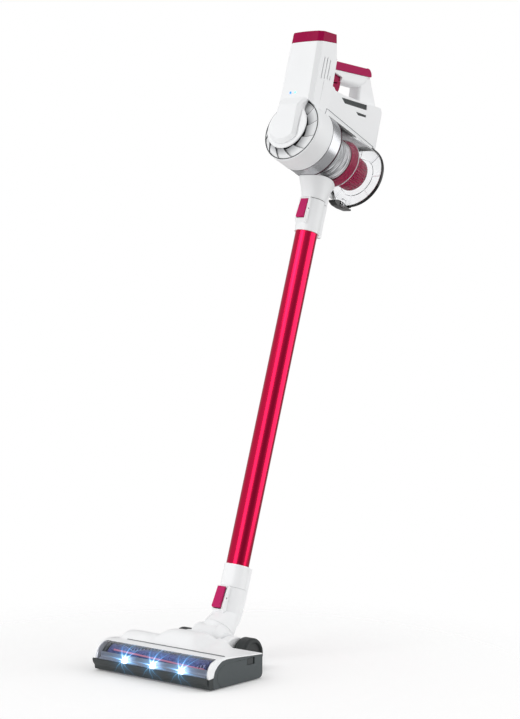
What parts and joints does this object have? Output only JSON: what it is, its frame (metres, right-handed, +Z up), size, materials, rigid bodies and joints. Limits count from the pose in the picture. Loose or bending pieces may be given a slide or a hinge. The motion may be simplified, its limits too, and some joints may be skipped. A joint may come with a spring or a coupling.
{
  "type": "cordless stick vacuum",
  "caption": "Cordless stick vacuum: hand unit with clear dust cup and looped grip, leaning wand, swivel neck and motorised floor head.",
  "frame": {"origin": "on the floor under the middle of the whole vacuum's bounding box", "axes": "+Z up from the floor, +X to the right of a user standing behind it, +Y towards the user; the wand leans back 18.3 degrees in the YZ plane"},
  "size_m": [0.244, 0.574, 1.0369],
  "materials": {
    "white_gloss": "glossy white ABS",
    "magenta_gloss": "satin magenta ABS",
    "magenta_tube": "metallic magenta coating on aluminium",
    "dark_plastic": "matte dark grey",
    "black_gloss": "glossy black",
    "clear": "clear polycarbonate",
    "smoked_window": "clear polycarbonate, tinted",
    "chrome": "chrome plated",
    "steel": "plain steel",
    "brass": "plated contact",
    "board": "solder mask",
    "battery": "shrink sleeve",
    "filter": "pleated filter paper",
    "rubber": "black rubber",
    "wheel": "dark grey, soft tread",
    "brush_core": "navy",
    "bristle": "navy nylon bristle",
    "lamp": "blue-white light-emitting diode lens"
  },
  "bodies": {
    "hand_unit": {"housing_left": "white_gloss", "housing_right": "white_gloss", "nose_cover": "white_gloss", "handle_trim": "magenta_gloss", "motor_can": "steel", "motor_mounts": "dark_plastic", "hepa_filter": "filter", "battery_pack": "battery", "control_board": "board", "charging_jack": "black_gloss", "micro_switch": "dark_plastic", "indicator_lights": "lamp", "side_grilles": "dark_plastic", "trigger_spring": "steel", "hinge_pins": "steel", "housing_screws": "steel", "front_disc": "white_gloss", "separator_shell": "white_gloss", "chrome_band": "chrome", "cup_seal": "rubber", "swirl_vanes": "white_gloss", "dust_cup": "clear", "mesh_filter": "steel", "filter_skirt": "magenta_gloss", "cyclone_cone": "magenta_gloss", "inlet_neck": "white_gloss", "inlet_contacts": "brass"},
    "impeller": {"impeller": "dark_plastic"},
    "top_cap": {"top_cap": "magenta_gloss"},
    "trigger": {"trigger": "magenta_gloss"},
    "cup_door": {"cup_door": "clear", "door_rim": "black_gloss"},
    "door_latch": {"door_latch": "black_gloss"},
    "wand": {"wand_tube": "magenta_tube", "wand_conduit": "dark_plastic", "upper_collar": "white_gloss", "upper_pin": "steel", "lower_collar": "white_gloss"},
    "upper_button": {"upper_button": "magenta_gloss"},
    "neck": {"neck_body": "white_gloss", "lower_pin": "steel"},
    "lower_button": {"lower_button": "magenta_gloss"},
    "yoke": {"pivot_yoke": "white_gloss"},
    "floor_head": {"head_top_shell": "white_gloss", "head_base": "dark_plastic", "brush_window": "smoked_window", "front_bumper": "dark_plastic", "left_end_cap": "dark_plastic", "led_lights": "lamp", "pivot_pins": "steel", "wheel_axles": "steel", "drive_belt": "rubber", "brush_motor": "steel"},
    "end_cap": {"right_end_cap": "dark_plastic"},
    "end_cap_latch": {"end_cap_latch": "dark_plastic"},
    "brush_roll": {"brush_core": "brush_core", "brush_bristles": "bristle"},
    "motor_pulley": {"motor_pulley": "dark_plastic"},
    "left_wheel": {"left_wheel": "wheel"},
    "right_wheel": {"right_wheel": "wheel"}
  },
  "joints": [
    {"name": "cup_door_hinge", "type": "hinge", "parent": "hand_unit", "child": "cup_door", "pos_m": [0, 0.27265, 0.8527], "axis": [1, 0, 0], "range_deg": [0, 75]},
    {"name": "door_latch_press", "type": "hinge", "parent": "hand_unit", "child": "door_latch", "pos_m": [0, 0.19691, 0.74875], "axis": [-1, 0, 0], "range_deg": [0, 9], "stiffness_Nm_per_rad": 0.3, "springref_deg": -11.46},
    {"name": "cap_lift", "type": "slide", "parent": "hand_unit", "child": "top_cap", "axis": [0, 0.314, 0.9494], "range_m": [0, 0.04]},
    {"name": "trigger_pull", "type": "hinge", "parent": "hand_unit", "child": "trigger", "pos_m": [0, 0.17955, 0.97275], "axis": [1, 0, 0], "range_deg": [0, 6], "stiffness_Nm_per_rad": 0.5, "springref_deg": -5.73},
    {"name": "impeller_spin", "type": "hinge", "parent": "hand_unit", "child": "impeller", "pos_m": [0, 0.11552, 0.96706], "axis": [0, 0.314, 0.9494], "continuous": true},
    {"name": "wand_pull", "type": "slide", "parent": "hand_unit", "child": "wand", "axis": [0, -0.314, -0.9494], "range_m": [0, 0.045]},
    {"name": "upper_button_press", "type": "hinge", "parent": "wand", "child": "upper_button", "pos_m": [0, 0.09873, 0.73985], "axis": [1, 0, 0], "range_deg": [0, 5], "stiffness_Nm_per_rad": 0.3, "springref_deg": -5.73},
    {"name": "neck_pull", "type": "slide", "parent": "wand", "child": "neck", "axis": [0, -0.314, -0.9494], "range_m": [0, 0.045]},
    {"name": "lower_button_press", "type": "hinge", "parent": "neck", "child": "lower_button", "pos_m": [0, -0.11257, 0.10699], "axis": [1, 0, 0], "range_deg": [0, 5], "stiffness_Nm_per_rad": 0.3, "springref_deg": -5.73},
    {"name": "neck_swivel", "type": "hinge", "parent": "neck", "child": "yoke", "pos_m": [0, -0.11998, 0.056], "axis": [0, 0.7071, 0.7071], "range_deg": [-60, 60]},
    {"name": "head_pitch", "type": "hinge", "parent": "yoke", "child": "floor_head", "pos_m": [0, -0.13998, 0.038], "axis": [1, 0, 0], "range_deg": [-18, 60]},
    {"name": "brush_spin", "type": "hinge", "parent": "floor_head", "child": "brush_roll", "pos_m": [0, -0.25348, 0.0223], "axis": [1, 0, 0], "continuous": true},
    {"name": "brush_motor_spin", "type": "hinge", "parent": "floor_head", "child": "motor_pulley", "pos_m": [-0.109, -0.21798, 0.0415], "axis": [1, 0, 0], "continuous": true},
    {"name": "left_wheel_spin", "type": "hinge", "parent": "floor_head", "child": "left_wheel", "pos_m": [-0.066, -0.12498, 0.026], "axis": [1, 0, 0], "continuous": true},
    {"name": "right_wheel_spin", "type": "hinge", "parent": "floor_head", "child": "right_wheel", "pos_m": [0.066, -0.12498, 0.026], "axis": [1, 0, 0], "continuous": true},
    {"name": "end_cap_pull", "type": "slide", "parent": "floor_head", "child": "end_cap", "axis": [1, 0, 0], "range_m": [0, 0.03]},
    {"name": "end_cap_latch_slide", "type": "slide", "parent": "end_cap", "child": "end_cap_latch", "axis": [0, 1, 0], "range_m": [0, 0.002], "stiffness_N_per_m": 100, "springref_m": -0.004}
  ],
  "couplings": [
    {"joint": "brush_motor_spin", "follows": "brush_spin", "ratio": 2.4}
  ]
}
